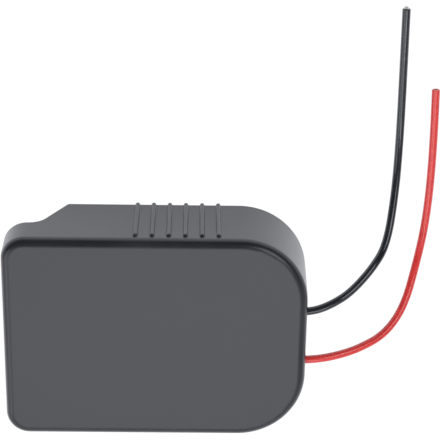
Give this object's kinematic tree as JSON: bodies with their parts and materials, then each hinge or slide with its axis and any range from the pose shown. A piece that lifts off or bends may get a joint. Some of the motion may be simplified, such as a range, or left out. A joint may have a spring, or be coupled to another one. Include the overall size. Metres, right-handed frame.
{
  "type": "tool battery adapter",
  "caption": "Slide-on dock for a tool battery: moulded housing with a plain face, drafted ribbed walls, a railed channel with blades underneath, and a red and a black loose lead.",
  "frame": {"origin": "centre of the housing's outline at the level of the dock's rim, on which it stands", "axes": "+X towards the rounded end where the leads come out, +Y towards the ribbed wall seen in the picture, +Z from the open dock side up to the plain face"},
  "size_m": [0.1484, 0.1488, 0.0302],
  "materials": {
    "shell_plastic": "fine moulded texture, charcoal",
    "liner_plastic": "fine moulded texture, black",
    "block_plastic": "smooth glass filled nylon",
    "clamp_plastic": "smooth moulded",
    "screw_steel": "zinc plated",
    "blade_brass": "bright rolled sheet",
    "red_jacket": "soft pvc, semi gloss",
    "black_jacket": "soft pvc, semi gloss",
    "tinned_copper": "tinned strands",
    "solder": "smooth solder",
    "red_sleeve": "shrunk sleeve",
    "black_sleeve": "shrunk sleeve"
  },
  "bodies": {
    "root": {"shell": "shell_plastic", "dock_liner": "liner_plastic", "terminal_block": "block_plastic", "cable_clamp": "clamp_plastic", "liner_screws": "screw_steel", "terminal_block_screws": "screw_steel", "cable_clamp_screws": "screw_steel", "positive_blade": "blade_brass", "negative_blade": "blade_brass", "red_lead": "red_jacket", "red_lead_inner": "red_jacket", "black_lead": "black_jacket", "black_lead_inner": "black_jacket", "red_lead_end": "tinned_copper", "black_lead_end": "tinned_copper", "red_lead_strands": "tinned_copper", "black_lead_strands": "tinned_copper", "positive_solder": "solder", "negative_solder": "solder", "red_sleeve": "red_sleeve", "black_sleeve": "black_sleeve"}
  },
  "joints": []
}
